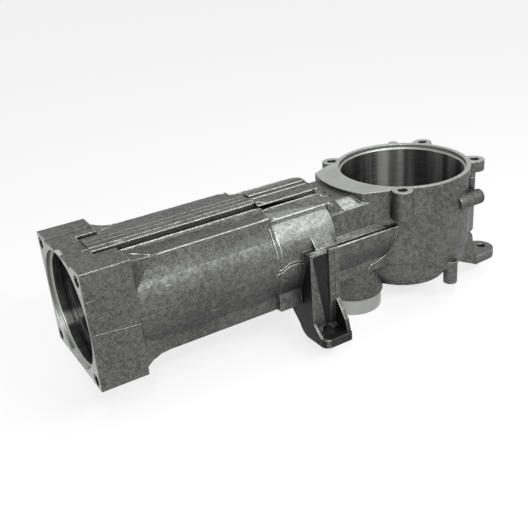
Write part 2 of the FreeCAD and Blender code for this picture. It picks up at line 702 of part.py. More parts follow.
def toe_web(name, along):
    side = sketch_on("XZ_Plane", name + "Profile", along=along)
    tip = v.skirt_radius + v.toe_web_foot
    loop(side, [
        (v.toe_heel, -v.toe_web_top), (v.skirt_radius - v.toe_thick, -v.toe_web_top),
        (tip, toe_top + v.rim_step), (tip, -v.foot_drop),
        (v.skirt_radius + v.rim_step, -v.foot_drop), (v.toe_heel, toe_top),
    ])
    return pad(side, name, v.toe_web)


near_toe_web = toe_web("ToeWebOuter", toe_near - v.toe_web)
far_toe_web = toe_web("ToeWebInner", toe_far)
mirrored([wedge_pad, near_toe_web, far_toe_web], "ToesAcross", "XZ_Plane")

toe_plate = sketch_on("XY_Plane", "ToePlate", along=-v.foot_drop)
toe_nose = v.toe_length - v.toe_round
twins(toe_plate, [
    (v.skirt_radius, -toe_near - v.toe_spread), (toe_nose, -toe_near, v.toe_round),
    (v.toe_length, -v.toe_half, v.toe_round), (toe_nose, -toe_far),
    (v.skirt_radius, v.toe_spread - toe_far),
], 1)
pad(toe_plate, "ToePad", v.toe_thick)

strip = sketch_on("XY_Plane", "StripOutline", along=-v.toe_web_top)
twins(strip, [
    (v.toe_heel, -toe_near), (beside(v.gear_wall_radius, toe_near), -toe_near),
    (v.strip_ahead, -v.toe_half - v.toe_web), (v.strip_ahead, v.toe_web - v.toe_half),
    (v.toe_heel, v.toe_web - v.toe_half),
], 1)
pad(strip, "WallStrip", v.toe_web_top - v.front_lug_height)

# ---------------------------------------------------------------- spigot
spigot_bottom = v.foot_drop + v.spigot_length
spigot_collar = sketch_on("XY_Plane", "SpigotBossSection", along=-v.foot_drop)
circle(spigot_collar, -v.spigot_back, 0, v.spigot_radius + v.spigot_boss)
pad(spigot_collar, "SpigotBoss", v.foot_drop - v.axis_drop - v.shaft_radius - v.overlap)

spigot_ring = sketch_on("XY_Plane", "SpigotSection", along=-spigot_bottom)
circle(spigot_ring, -v.spigot_back, 0, v.spigot_radius)
pad(spigot_ring, "Spigot", v.spigot_length + v.pad_thick)

# ---------------------------------------------------------------- motor side cuts
mouth = -v.flange_reach
seat_start = mouth + v.register_depth
ring_start = mouth + v.ring_start
ring_end = ring_start + v.ring_width
bore_end = mouth + v.bore_length
bearing_end = bore_end + v.bearing_depth
motor_side = sketch_on("XZ_Plane", "MotorBoreProfile", up=axis)
loop(motor_side, [
    (mouth, 0), (-v.shaft_radius, 0), (-v.shaft_radius, v.shaft_radius),
    (bearing_end, v.shaft_radius), (bearing_end, v.bearing_radius), (bore_end, v.bearing_radius),
    (bore_end, v.bore_radius), (ring_end + v.bore_chamfer, v.bore_radius),
    (ring_end, v.bore_radius + v.bore_chamfer), (ring_end, v.seat_bore + v.ring_cut),
    (ring_start, v.seat_bore + v.ring_cut), (ring_start, v.seat_bore),
    (seat_start + v.bore_chamfer, v.seat_bore), (seat_start, v.seat_bore + v.bore_chamfer),
    (seat_start, v.register_radius), (mouth, v.register_radius),
])
turned("Groove", motor_side, "MotorBore", "H_Axis")

taps = sketch_on("YZ_Plane", "TapCircles", along=mouth, up=axis)
bolt = v.flange_bolts / 2
for right, up in ((bolt, bolt), (-bolt, bolt), (-bolt, -bolt), (bolt, -bolt)):
    circle(taps, right, up, v.tap_radius)
pocket(taps, "TappedHoles", v.tap_depth, back=True)

# ---------------------------------------------------------------- gear side cuts
seat_end = v.gear_bore_depth + v.seat_depth
gear_side = sketch_on("XZ_Plane", "GearBoreProfile")
loop(gear_side, [
    (0, 0), (0, -seat_end), (v.seat_radius, -seat_end), (v.seat_radius, -v.gear_bore_depth),
    (v.gear_bore_radius, -v.gear_bore_depth),
    (v.gear_bore_radius, -v.gear_recess_depth - v.bore_chamfer),
    (v.gear_bore_radius + v.bore_chamfer, -v.gear_recess_depth),
    (v.gear_recess_radius, -v.gear_recess_depth), (v.gear_recess_radius, 0),
])
turned("Groove", gear_side, "GearBore", "V_Axis")


def lid_holes(name, circle_radius, turn, depth):
    """Pair of screw holes on a circle, one on each side of the centre plane."""
    rings = sketch_on("XY_Plane", name + "Circles")
    along = circle_radius * Size(math.cos(math.radians(turn.value)), "cos(%s)" % turn.formula)
    aside = circle_radius * Size(math.sin(math.radians(turn.value)), "sin(%s)" % turn.formula)
    circle(rings, along, aside, v.lid_hole_radius)
    circle(rings, along, -aside, v.lid_hole_radius)
    pocket(rings, name, depth)


lid_holes("RearHoles", v.rear_lug_circle, v.rear_lug_turn, v.rear_lug_height)
lid_holes("FrontHoles", v.front_lug_circle, v.front_lug_turn, v.front_lug_height)

feet_holes = sketch_on("XY_Plane", "FootHoleCircles", along=-v.foot_drop)
for side in (1, -1):
    circle(feet_holes, -v.foot_back, v.foot_half * side, v.foot_hole_radius)
    circle(feet_holes, v.toe_ahead, v.toe_half * side, v.toe_hole_radius)
pocket(feet_holes, "FootHoles", v.pad_thick + v.toe_thick, back=True)

spigot_hole = sketch_on("XY_Plane", "SpigotBoreCircle", along=-spigot_bottom)
circle(spigot_hole, -v.spigot_back, 0, v.spigot_bore)
last = pocket(spigot_hole, "SpigotBore", v.spigot_bore_depth - v.spigot_length, back=True)
last.Refine = True

doc.recompute()
bad = [item.Label for item in doc.Objects if "Invalid" in item.State or "Error" in item.State]
if bad or body.Shape.isNull() or not body.Shape.isValid() or len(body.Shape.Solids) != 1:
    raise RuntimeError("the casting did not build: %s" % bad)
os.makedirs("parts", exist_ok=True)
body.Shape.exportStep("parts/%s.step" % body.Label)
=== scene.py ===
"""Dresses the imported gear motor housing: cast skin, machined faces, honed bores, studio, camera."""
import json
import math

import bmesh
import bpy
from mathutils import Matrix, Vector, noise
from mathutils.bvhtree import BVHTree

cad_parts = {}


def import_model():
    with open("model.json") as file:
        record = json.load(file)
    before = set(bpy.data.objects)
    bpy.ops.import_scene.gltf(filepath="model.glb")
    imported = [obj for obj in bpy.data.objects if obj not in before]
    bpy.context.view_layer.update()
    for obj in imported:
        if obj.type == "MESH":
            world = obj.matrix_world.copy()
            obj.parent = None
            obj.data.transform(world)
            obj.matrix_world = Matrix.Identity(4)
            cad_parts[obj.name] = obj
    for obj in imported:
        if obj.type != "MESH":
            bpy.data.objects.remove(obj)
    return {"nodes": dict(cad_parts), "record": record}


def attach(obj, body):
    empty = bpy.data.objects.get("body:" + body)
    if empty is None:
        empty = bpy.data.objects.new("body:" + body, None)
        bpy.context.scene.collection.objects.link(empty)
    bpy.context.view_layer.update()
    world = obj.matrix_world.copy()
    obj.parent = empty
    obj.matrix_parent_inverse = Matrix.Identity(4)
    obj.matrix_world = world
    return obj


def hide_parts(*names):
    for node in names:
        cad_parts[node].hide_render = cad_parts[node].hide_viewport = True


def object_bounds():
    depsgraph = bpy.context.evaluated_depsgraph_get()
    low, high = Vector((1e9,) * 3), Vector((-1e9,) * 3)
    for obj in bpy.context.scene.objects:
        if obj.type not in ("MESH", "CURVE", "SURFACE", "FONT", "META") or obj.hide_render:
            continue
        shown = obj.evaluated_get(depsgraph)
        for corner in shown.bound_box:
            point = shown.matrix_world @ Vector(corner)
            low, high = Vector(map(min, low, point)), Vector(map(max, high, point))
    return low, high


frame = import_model()
cad_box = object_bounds()

MM = 0.001
FOOT_SPREAD = 47.5 * MM
FOOT_HOLE_RADIUS = 5.0 * MM
BOLT_SPREAD = 32.0 * MM
BOLT_MOUTH = 4.1 * MM
MOUNTS = {mount["name"]: mount for mount in frame["record"]["mounts"]}


def place(name):
    """Position of a mount, in metres."""
    return Vector(MOUNTS[name]["pos_m"])


def radius(name):
    """Radius of a round mount, in metres."""
    return MOUNTS[name]["dims"]["r_mm"] * MM


def length(name):
    """Depth of a round mount along its axis, in metres."""
    return MOUNTS[name]["dims"]["length_mm"] * MM


AXIS_Z = place("motor_bore").z
FLANGE_X = place("flange_face").x
SOLE_Z = place("foot_face").z
SPIGOT_X = place("spigot").x
MOTOR_BORE_END = place("motor_bore").x + length("motor_bore") / 2
FOOT_HOLES = [Vector((place("foot_holes").x, side * FOOT_SPREAD, 0)) for side in (-1, 1)]


# ---------------------------------------------------------------- node helpers
class Nodes:
    """Small wrapper that adds and links shader nodes of one node tree."""

    def __init__(self, tree):
        self.tree = tree
        self.geometry = None

    def add(self, kind, **settings):
        node = self.tree.nodes.new(kind)
        for key, value in settings.items():
            setattr(node, key, value)
        return node

    def feed(self, socket, value):
        """Links a socket to another one, or sets it to a plain value."""
        if isinstance(value, bpy.types.NodeSocket):
            self.tree.links.new(value, socket)
        else:
            socket.default_value = value

    def math(self, operation, first, second):
        node = self.add("ShaderNodeMath", operation=operation)
        self.feed(node.inputs[0], first)
        self.feed(node.inputs[1], second)
        return node.outputs[0]

    def times(self, *values):
        """Product of all the values."""
        product = values[0]
        for value in values[1:]:
            product = self.math("MULTIPLY", product, value)
        return product

    def ramp(self, value, low, high, start=0.0, finish=1.0):
        """Smooth step of a value from low to high, giving start to finish."""
        node = self.add("ShaderNodeMapRange", interpolation_type="SMOOTHSTEP")
        for socket, number in zip(node.inputs, (value, low, high, start, finish)):
            self.feed(socket, number)
        return node.outputs[0]

    def mix(self, share, first, second):
        """The first colour, with the share of the second one over it."""
        node = self.add("ShaderNodeMix", data_type="RGBA")
        self.feed(node.inputs["Factor"], share)
        self.feed(node.inputs[6], first)
        self.feed(node.inputs[7], second)
        return node.outputs[2]

    def position(self):
        if self.geometry is None:
            self.geometry = self.add("ShaderNodeNewGeometry")
        return self.geometry.outputs["Position"]

    def normal(self):
        self.position()
        return self.geometry.outputs["Normal"]

    def part(self, vector, axis):
        """One coordinate of a vector."""
        node = self.add("ShaderNodeSeparateXYZ")
        self.feed(node.inputs[0], vector)
        return node.outputs[axis]

    def attribute(self, name):
        return self.add("ShaderNodeAttribute", attribute_name=name).outputs["Fac"]

    def noise(self, scale, detail=2.0, rough=0.5, stretch=None):
        """Noise in space: its scale per metre, its detail and roughness, and a stretch of space."""
        node = self.add("ShaderNodeTexNoise")
        node.inputs["Scale"].default_value = scale
        node.inputs["Detail"].default_value = detail
        node.inputs["Roughness"].default_value = rough
        source = self.position()
        if stretch:
            mapping = self.add("ShaderNodeMapping")
            mapping.inputs["Scale"].default_value = stretch
            self.feed(mapping.inputs["Vector"], source)
            source = mapping.outputs[0]
        self.feed(node.inputs["Vector"], source)
        return node.outputs["Fac"]

    def openness(self, reach, samples=8):
        """One on open ground, falling to zero in hollows narrower than the reach."""
        node = self.add("ShaderNodeAmbientOcclusion", samples=samples, only_local=True)
        node.inputs["Distance"].default_value = reach
        return node.outputs["AO"]

    def bump(self, height, distance, strength):
        node = self.add("ShaderNodeBump")
        node.inputs["Distance"].default_value = distance
        node.inputs["Strength"].default_value = strength
        self.feed(node.inputs["Height"], height)
        return node.outputs[0]


# ---------------------------------------------------------------- materials
# Greys as linear levels. The skin runs from dark to light, and the others lie over it.
# The darkest grey is painted shade; the edge, wear, bright and thread greys are painted highlight in
# part.
SKIN_DARK, SKIN_LIGHT = 0.074, 0.172
PIT_GREY, EDGE_WEAR_AND_HIGHLIGHT_GREY, SCRATCH_GREY, SHADE_GREY = 0.03, 0.60, 0.40, 0.014
WEAR_AND_SHEEN_GREY, HIGHLIGHT_GREY, THREAD_HIGHLIGHT_GREY = 0.42, 0.62, 0.75
# Most painted shade in each kind of place, as shares.
UNDERSIDE_SHADE, SHELTERED_SHADE, CREVICE_SHADE, MARKED_SHADE = 0.42, 0.36, 0.85, 0.85
FACE_DARK, FACE_LIGHT, FACE_MARK, FACE_CREVICE_SHADE = 0.33, 0.41, 0.2, 0.06
HONE_LINE = 0.4
QUARTER_TURN = 0.25


def grey(level, warm=0.0):
    """Grey of a linear level, a little to the green of neutral."""
    return (level * (0.975 + warm), level, level * (0.965 - warm), 1.0)


def new_material(name):
    material = bpy.data.materials.new(name)
    material.use_nodes = True
    material.node_tree.nodes.clear()
    return material, Nodes(material.node_tree)


def finish_material(nodes, colour, rough, normal, tangent=None):
    """Bare metal, brushed across the tangent where there is one."""
    shader = nodes.add("ShaderNodeBsdfPrincipled")
    nodes.feed(shader.inputs["Base Color"], colour)
    nodes.feed(shader.inputs["Roughness"], rough)
    nodes.feed(shader.inputs["Normal"], normal)
    shader.inputs["Metallic"].default_value = 1.0
    if tangent is not None:
        shader.inputs["Anisotropic"].default_value = 1.0
        shader.inputs["Anisotropic Rotation"].default_value = QUARTER_TURN
        nodes.feed(shader.inputs["Tangent"], tangent)
    output = nodes.add("ShaderNodeOutputMaterial")
    nodes.feed(output.inputs["Surface"], shader.outputs[0])


def edge_wear_and_highlight_mask(nodes, reach):
    """One on outward edges within the reach, most on those that face up as a painted highlight, zero
    in corners.
    """
    rounded = nodes.add("ShaderNodeBevel", samples=6)
    rounded.inputs["Radius"].default_value = reach
    dot = nodes.add("ShaderNodeVectorMath", operation="DOT_PRODUCT")
    nodes.feed(dot.inputs[0], rounded.outputs[0])
    nodes.feed(dot.inputs[1], nodes.normal())
    turn = nodes.ramp(dot.outputs["Value"], 0.995, 0.94)
    upward = nodes.ramp(nodes.part(rounded.outputs[0], "Z"), 0.1, 0.5, 0.3, 1.0)
    outward = nodes.ramp(nodes.openness(1.6 * MM, 6), 0.78, 0.95)
    return nodes.times(turn, upward, outward)


def skin_tone(nodes):
    """Uneven tone of the cast skin: clouds, mottle and speckle together."""
    clouds = nodes.noise(24.0, 2.0, 0.5)
    mottle = nodes.noise(320.0, 4.0, 0.72)
    speckle = nodes.noise(1000.0, 3.0, 0.75)
    fine = nodes.math("ADD", nodes.times(mottle, 0.40), nodes.times(speckle, 0.44))
    return nodes.math("ADD", nodes.times(clouds, 0.16), fine)


def cast_material(name="cast_skin", wear_and_sheen_share=0.0, shine=WEAR_AND_SHEEN_GREY):
    """Cast skin, bright by wear and painted sheen where so marked, with painted shade on faces that
    look down, in hollows and where marked.
    """
    material, nodes = new_material(name)
    tone = skin_tone(nodes)
    colour = nodes.mix(nodes.ramp(tone, 0.40, 0.60), grey(SKIN_DARK), grey(SKIN_LIGHT, 0.004))
    pits = nodes.ramp(nodes.noise(560.0, 3.0, 0.65), 0.38, 0.29)
    colour = nodes.mix(nodes.times(pits, 0.6), colour, grey(PIT_GREY))

    patches = nodes.ramp(nodes.noise(110.0, 4.0, 0.65), 0.34, 0.54, 0.35, 1.0)
    # Lightened edges: edge wear, with a painted highlight strongest on the edges that face up.
    edges = nodes.times(edge_wear_and_highlight_mask(nodes, 1.0 * MM), patches)
    colour = nodes.mix(nodes.times(edges, 0.9), colour, grey(EDGE_WEAR_AND_HIGHLIGHT_GREY))
    # Marked patches are lightened: wear, with painted sheen on the faces that look up.
    wear_and_sheen_zone = nodes.math("MAXIMUM", nodes.attribute("wear_and_sheen"), wear_and_sheen_share)
    flecks = nodes.ramp(nodes.noise(330.0, 4.0, 0.7), 0.36, 0.62, 0.35, 1.0)
    colour = nodes.mix(nodes.times(wear_and_sheen_zone, flecks), colour, grey(shine))
    streaks = nodes.ramp(nodes.noise(300.0, 2.0, 0.6, stretch=(0.2, 1.0, 1.0)), 0.66, 0.74)
    scratches = nodes.times(streaks, nodes.ramp(nodes.noise(60.0, 2.0, 0.5), 0.5, 0.62))
    colour = nodes.mix(nodes.times(scratches, 0.6), colour, grey(SCRATCH_GREY))

    # Painted shade: darker on faces that look down, in wide hollows, in crevices and where marked.
    underside_shade = nodes.ramp(nodes.part(nodes.normal(), "Z"), -0.04, -0.45)
    sheltered_shade = nodes.ramp(nodes.openness(38 * MM), 0.30, 0.80, 1.0, 0.0)
    crevice_shade = nodes.ramp(nodes.openness(5 * MM), 0.30, 0.85, 1.0, 0.0)
    for share, most in ((underside_shade, UNDERSIDE_SHADE), (sheltered_shade, SHELTERED_SHADE),
                        (crevice_shade, CREVICE_SHADE), (nodes.attribute("painted_shade"), MARKED_SHADE)):
        colour = nodes.mix(nodes.times(share, most), colour, grey(SHADE_GREY))

    polish = nodes.times(nodes.math("MAXIMUM", wear_and_sheen_zone, edges), 0.14)
    rough = nodes.math("SUBTRACT", nodes.ramp(tone, 0.38, 0.62, 0.56, 0.46), polish)
    height = nodes.math("ADD", nodes.times(nodes.noise(1500.0, 2.0, 0.6), 0.3),
                        nodes.times(nodes.noise(300.0, 3.0, 0.6), 0.7))
    finish_material(nodes, colour, rough, nodes.bump(height, 0.22 * MM, 0.6))
    return material


def machined_material():
    """Flat machined metal with soft swirls and a few dull marks."""
    material, nodes = new_material("machined_face")
    swirl = nodes.noise(55.0, 3.0, 0.6)
    fine = nodes.noise(900.0, 2.0, 0.6)
    tone = nodes.math("ADD", nodes.times(swirl, 0.6), nodes.times(fine, 0.4))
    colour = nodes.mix(nodes.ramp(tone, 0.35, 0.65), grey(FACE_DARK), grey(FACE_LIGHT))
    marks = nodes.ramp(nodes.noise(160.0, 3.0, 0.7), 0.68, 0.75)
    colour = nodes.mix(nodes.times(marks, 0.5), colour, grey(FACE_MARK))
    # Painted shade in crevices beside the machined faces.
    crevice_shade = nodes.ramp(nodes.openness(4 * MM), 0.30, 0.80, 1.0, 0.0)
    colour = nodes.mix(nodes.times(crevice_shade, 0.8), colour, grey(FACE_CREVICE_SHADE))
    rough = nodes.ramp(tone, 0.35, 0.65, 0.42, 0.34)
    finish_material(nodes, colour, rough, nodes.bump(fine, 0.04 * MM, 0.4))
    return material


def stretched(axis, along, across):
    """Stretch of space along one axis and across it."""
    return tuple(along if letter == axis else across for letter in "XYZ")


def honed_material(name, axis, dark, light, rough):
    """Bored wall: fine rings round the axis, so a lamp draws a bright line along the bore; tone
    stripes along the axis are painted reflections.
    """
    material, nodes = new_material(name)
    rings = nodes.noise(420.0, 2.0, 0.6, stretch=stretched(axis, 3.0, 0.15))
    # Stripes along the axis: tone painted in as reflections.
    reflection_bands = nodes.noise(75.0, 3.0, 0.6, stretch=stretched(axis, 0.04, 1.0))
    colour = nodes.mix(nodes.ramp(reflection_bands, 0.38, 0.66), grey(dark, 0.002), grey(light, 0.002))
    lines = nodes.times(nodes.ramp(rings, 0.4, 0.7), 0.10)
    colour = nodes.mix(lines, colour, grey(HONE_LINE))
    tangent = nodes.add("ShaderNodeTangent", direction_type="RADIAL", axis=axis)
    finish_material(nodes, colour, rough, nodes.bump(rings, 0.03 * MM, 0.2), tangent.outputs[0])
    return material


# ---------------------------------------------------------------- pieces
def new_piece(name, shape, *materials):
    """Turns a bmesh into one piece of the housing."""
    mesh = bpy.data.meshes.new(name)
    shape.to_mesh(mesh)
    shape.free()
    for material in materials:
        mesh.materials.append(material)
    piece = bpy.data.objects.new(name, mesh)
    bpy.context.scene.collection.objects.link(piece)
    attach(piece, "root")
    return piece


def within(value, low, high):
    """Whether a length in metres lies between two in millimetres."""
    return low * MM < value < high * MM


def fade(value, start, full):
    """Share of a length in metres, from none at start to one at full, both in millimetres."""
    return min(max((value - start * MM) / ((full - start) * MM), 0.0), 1.0)


# ---------------------------------------------------------------- the casting
CAST, FACE, GEAR_BORE, MOTOR_BORE = range(4)
WELD = 0.002 * MM
FLAT_ANGLE = math.radians(0.5)
EDGE_ANGLE = math.radians(27)
EDGE_WIDTH = 0.42 * MM
# An edge is rounded where its narrower face is, on average, this many roundings wide.
ROOM = 2.2
SHORTEST = 1e-6
THIN_FLANGE_X = -250 * MM
THIN_FLANGE_HALF = 14 * MM
STRAY = 0.6 * MM
INWARDS = -0.4

# Finishes: how squarely a face looks along an axis, and how far it lies from a machined face.
SQUARE = 0.9
LID_END = -58 * MM
LID_DEPTH = 0.25 * MM
FLANGE_DEPTH = 0.25 * MM
STEP_DEPTH = 0.9 * MM
STEP_REACH = 0.6 * MM
RING_RISE = 0.3 * MM
SOLE_RISE = 0.2 * MM
GEAR_BORE_REACH = 0.8 * MM
GEAR_BORE_END = -60.5 * MM
MOTOR_BORE_REACH = 1.4 * MM
BOLT_DEPTH = 20 * MM


def thin_wall(edge):
    """The flange is too thin to round above and below its register."""
    middle_of = (edge.verts[0].co + edge.verts[1].co) / 2
    return middle_of.x < THIN_FLANGE_X and abs(middle_of.y) < THIN_FLANGE_HALF


def width_beside(edge):
    """Mean width of the narrower face beside an edge."""
    narrower = min(face.calc_area() for face in edge.link_faces)
    return narrower / max(edge.calc_length(), SHORTEST)


def soften(shape, convex):
    """Rounds the sharp edges of one kind where there is room."""
    edges = [edge for edge in shape.edges
             if edge.is_manifold and edge.is_convex == convex and not thin_wall(edge)
             and edge.calc_face_angle() > EDGE_ANGLE
             and width_beside(edge) > ROOM * EDGE_WIDTH]
    bmesh.ops.bevel(shape, geom=edges, offset=EDGE_WIDTH, offset_type="OFFSET", segments=2,
                    profile=0.5, affect="EDGES", clamp_overlap=False)


def face_outwards(shape, surface):
    """Puts stray vertices back on the surface, and turns faces against the one nearest to them."""
    for vert in shape.verts:
        nearest, _, _, gap = surface.find_nearest(vert.co)
        if gap > STRAY:
            vert.co = nearest
    shape.normal_update()
    for face in shape.faces:
        _, outwards, _, _ = surface.find_nearest(face.calc_center_median())
        if face.normal.dot(outwards) < INWARDS:
            face.normal_flip()


def from_bolt(centre):
    """Distance to the nearest of the four bolt axes of the flange."""
    return math.hypot(abs(centre.y) - BOLT_SPREAD, abs(centre.z - AXIS_Z) - BOLT_SPREAD)


def region(centre, normal):
    """Which finish a face of the casting has."""
    from_gear = math.hypot(centre.x, centre.y)
    from_motor = math.hypot(centre.y, centre.z - AXIS_Z)
    from_spigot = math.hypot(centre.x - SPIGOT_X, centre.y)
    lid = centre.z > -LID_DEPTH and normal.z > SQUARE and centre.x > LID_END
    register = (centre.z > -length("lid_register") - STEP_DEPTH
                and from_gear < radius("lid_register") + STEP_REACH)
    flange = (centre.x < FLANGE_X + FLANGE_DEPTH and normal.x < -SQUARE
              and from_bolt(centre) > BOLT_MOUTH)
    seat = (centre.x < FLANGE_X + length("motor_register") + STEP_DEPTH
            and from_motor < radius("motor_register") + STEP_REACH)
    ring = centre.z < SOLE_Z - RING_RISE and from_spigot < radius("spigot") + STEP_REACH
    sole = centre.z < SOLE_Z + SOLE_RISE and normal.z < -SQUARE
    if lid or register or flange or seat or ring or sole:
        return FACE
    if from_gear < radius("gear_bore") + GEAR_BORE_REACH and centre.z > GEAR_BORE_END:
        return GEAR_BORE
    if from_motor < radius("motor_seat") + MOTOR_BORE_REACH and centre.x < MOTOR_BORE_END:
        return MOTOR_BORE
    return CAST


def wear_and_sheen(centre, normal):
    """Share of bright skin, partly wear and partly painted sheen: the facet on the neck, the collar's
    upper side, the foot edges.
    """
    if within(centre.x, -74, -40) and 0.75 < normal.z < 0.97 and within(centre.y, -31, -18):
        return 1.0
    if within(centre.x, -127.5, -86) and centre.y < -24 * MM and normal.z < 0.93:
        return 0.38 * fade(centre.z, -17, -8)
    if (within(centre.x, -92, -76) and abs(centre.y) > 36 * MM and normal.z > 0.2
            and centre.z < -45 * MM):
        return 0.9
    return 0.0


def painted_shade(centre, normal):
    """Share of painted shade: bolt holes, above and in the foot holes, the feet's sides and pockets.
    """
    if centre.x < FLANGE_X + BOLT_DEPTH and from_bolt(centre) < BOLT_MOUTH:
        return 1.0
    for hole in FOOT_HOLES:
        if math.hypot(centre.x - hole.x, centre.y - hole.y) < FOOT_HOLE_RADIUS:
            return 1.0
    if within(centre.x, -125, -80) and abs(centre.y) > 20 * MM and abs(normal.x) > 0.7:
        return fade(centre.z, -28, -42)
    if within(centre.x, -108, -80) and abs(centre.y) > 36 * MM:
        return 0.9 * fade(centre.z, -62, -76)
    return 0.0


def housing_piece():
    """The casting with its edges rounded. Returns the spans of the lips on its long edges."""
    shape = bmesh.new()
    shape.from_mesh(frame["nodes"]["housing"].data)
    bmesh.ops.remove_doubles(shape, verts=shape.verts, dist=WELD)
    bmesh.ops.dissolve_limit(shape, angle_limit=FLAT_ANGLE, verts=shape.verts, edges=shape.edges)
    lips = find_lips(shape)
    surface = BVHTree.FromBMesh(shape)
    soften(shape, True)
    soften(shape, False)
    bmesh.ops.triangulate(shape, faces=[face for face in shape.faces if len(face.verts) > 4])
    face_outwards(shape, surface)
    wear_and_sheen_layer = shape.faces.layers.float.new("wear_and_sheen")
    painted_shade_layer = shape.faces.layers.float.new("painted_shade")
    for face in shape.faces:
        centre = face.calc_center_median()
        face.material_index = region(centre, face.normal)
        face[wear_and_sheen_layer] = wear_and_sheen(centre, face.normal)
        face[painted_shade_layer] = painted_shade(centre, face.normal)
        face.smooth = True
    # The motor bore's greys are low: painted shade deep inside the bore.
    piece = new_piece("housing_casting", shape, cast_material(), machined_material(),
                      honed_material("honed_gear_bore", "Z", 0.05, 0.21, 0.38),
                      honed_material("honed_motor_bore", "X", 0.04, 0.09, 0.30))
    weighted = piece.modifiers.new("weighted", "WEIGHTED_NORMAL")
    weighted.weight = 90
    weighted.keep_sharp = True
    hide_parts("housing")
    return lips


# ---------------------------------------------------------------- small raised forms
LIP_ANGLE = math.radians(50)
LIP_RADIUS = 0.50 * MM
LIP_STAND = 0.32 * MM
LIP_SHORTEST = 6 * MM
COLLAR_START = -128
RING_SIDES = 8
# How fast a tube's thickness wanders, per metre, and a direction that no tube runs along.
WANDER_SCALE = 420
SKEW = Vector((0.1, 0.2, 1.0))


def carries_lip(run, mid):
    """Whether an edge, by its run and its middle, is a long one on the rails or on the neck."""
    rails = within(mid.x, -223, -80) and mid.z > -16 * MM and abs(mid.y) < 34 * MM
    neck = within(mid.x, -84, -40) and within(mid.z, -32, -16) and abs(mid.y) > 25 * MM
    middle_band = mid.x < COLLAR_START * MM and abs(mid.y) < 9 * MM
    lengthways = abs(run.x) >= 0.9 * run.length and run.length >= LIP_SHORTEST
    return (rails or neck) and lengthways and not middle_band


def find_lips(shape):
    """Centre lines of the small lips, each with whether it is one of the bright ones."""
    spans = []
    for edge in shape.edges:
        if not edge.is_manifold or not edge.is_convex or edge.calc_face_angle() < LIP_ANGLE:
            continue
        start, end = (vert.co for vert in edge.verts)
        mid = (start + end) / 2
        if not carries_lip(end - start, mid):
            continue
        upper, side = sorted((face.normal for face in edge.link_faces), key=lambda n: -n.z)
        lean = upper.dot(side)
        inward = (LIP_RADIUS - LIP_STAND - lean * LIP_RADIUS) / (1 - lean * lean)
        sink = upper * (LIP_RADIUS - inward * lean) + side * inward
        if start.x > end.x:
            start, end = end, start
        bright = mid.x > COLLAR_START * MM and abs(mid.y) > 24 * MM
        spans.append((start - sink, end - sink, bright))
    return spans


def tube(shape, points, thickness, wander):
    """Closed tube through the points, its thickness a little uneven as on a casting."""
    rings = []
    for index, point in enumerate(points):
        before, after = points[max(index - 1, 0)], points[min(index + 1, len(points) - 1)]
        along = (after - before).normalized()
        side = along.cross(SKEW).normalized()
        up = side.cross(along)
        size = thickness * (1 + wander * noise.noise(point * WANDER_SCALE))
        turns = [math.tau * step / RING_SIDES for step in range(RING_SIDES)]
        rings.append([shape.verts.new(point + (side * math.cos(turn) + up * math.sin(turn)) * size)
                      for turn in turns])
    for first, second in zip(rings, rings[1:]):
        join_rings(shape, first, second)
    shape.faces.new(list(reversed(rings[0])))
    shape.faces.new(rings[-1])


def join_rings(shape, first, second):
    """Four-sided faces between two rings of vertices."""
    for step in range(len(first)):
        following = (step + 1) % len(first)
        shape.faces.new((first[step], first[following], second[following], second[step]))


def divide(points, step):
    """The same line with points no further apart than the step."""
    result = [points[0]]
    for start, end in zip(points, points[1:]):
        count = max(1, math.ceil((end - start).length / step))
        result.extend(start.lerp(end, share / count) for share in range(1, count + 1))
    return result


def tubes_piece(name, lines, material):
    """One piece of closed tubes kept inside the CAD box: each has points, thickness and wander."""
    shape = bmesh.new()
    for points, thickness, wander in lines:
        tube(shape, points, thickness, wander)
    for vert in shape.verts:
        for axis in range(3):
            vert.co[axis] = min(max(vert.co[axis], cad_box[0][axis]), cad_box[1][axis])
    bmesh.ops.recalc_face_normals(shape, faces=shape.faces)
    for face in shape.faces:
        face.smooth = True
    new_piece(name, shape, material)


def both_sides(points):
    """A line in millimetres and its twin across the middle plane, in metres."""
    near = [Vector(point) * MM for point in points]
    return near, [Vector((point.x, -point.y, point.z)) for point in near]


# Raised lines of the casting on the near side, in millimetres: points and half thickness. The
# points were traced on the photograph and projected onto the solid by a scratch script.
COLLAR_SEAM = ((-132.3, -37.1, -29.1), (-130.1, -37.2, -28.8), (-127.9, -37.9, -28.4),
               (-124.7, -37.9, -26.7), (-122.4, -37.8, -25.7), (-117.2, -37.8, -25.7),
               (-111.3, -37.9, -27.2))
COLLAR_SEAM_GAP = 2.2
FAINT_LINES = (
    (((-252.8, -37.7, -28.8), (-242.4, -37.7, -29.6), (-230.6, -37.7, -30.8),
      (-222.1, -37.7, -31.4)), 0.15),
    (((-33.8, -36.0, -26.8), (-33.9, -35.9, -29.8), (-34.5, -35.6, -32.6), (-34.9, -35.1, -35.7),
      (-35.4, -34.4, -38.9), (-36.3, -33.2, -41.8), (-37.3, -31.9, -45.3), (-38.6, -30.4, -47.9),
      (-41.0, -29.3, -50.3), (-44.1, -29.2, -51.3), (-46.7, -29.2, -52.3), (-49.3, -29.2, -52.7),
      (-51.9, -29.2, -53.1), (-53.7, -29.1, -54.8), (-55.4, -29.0, -56.6)), 0.32),
)
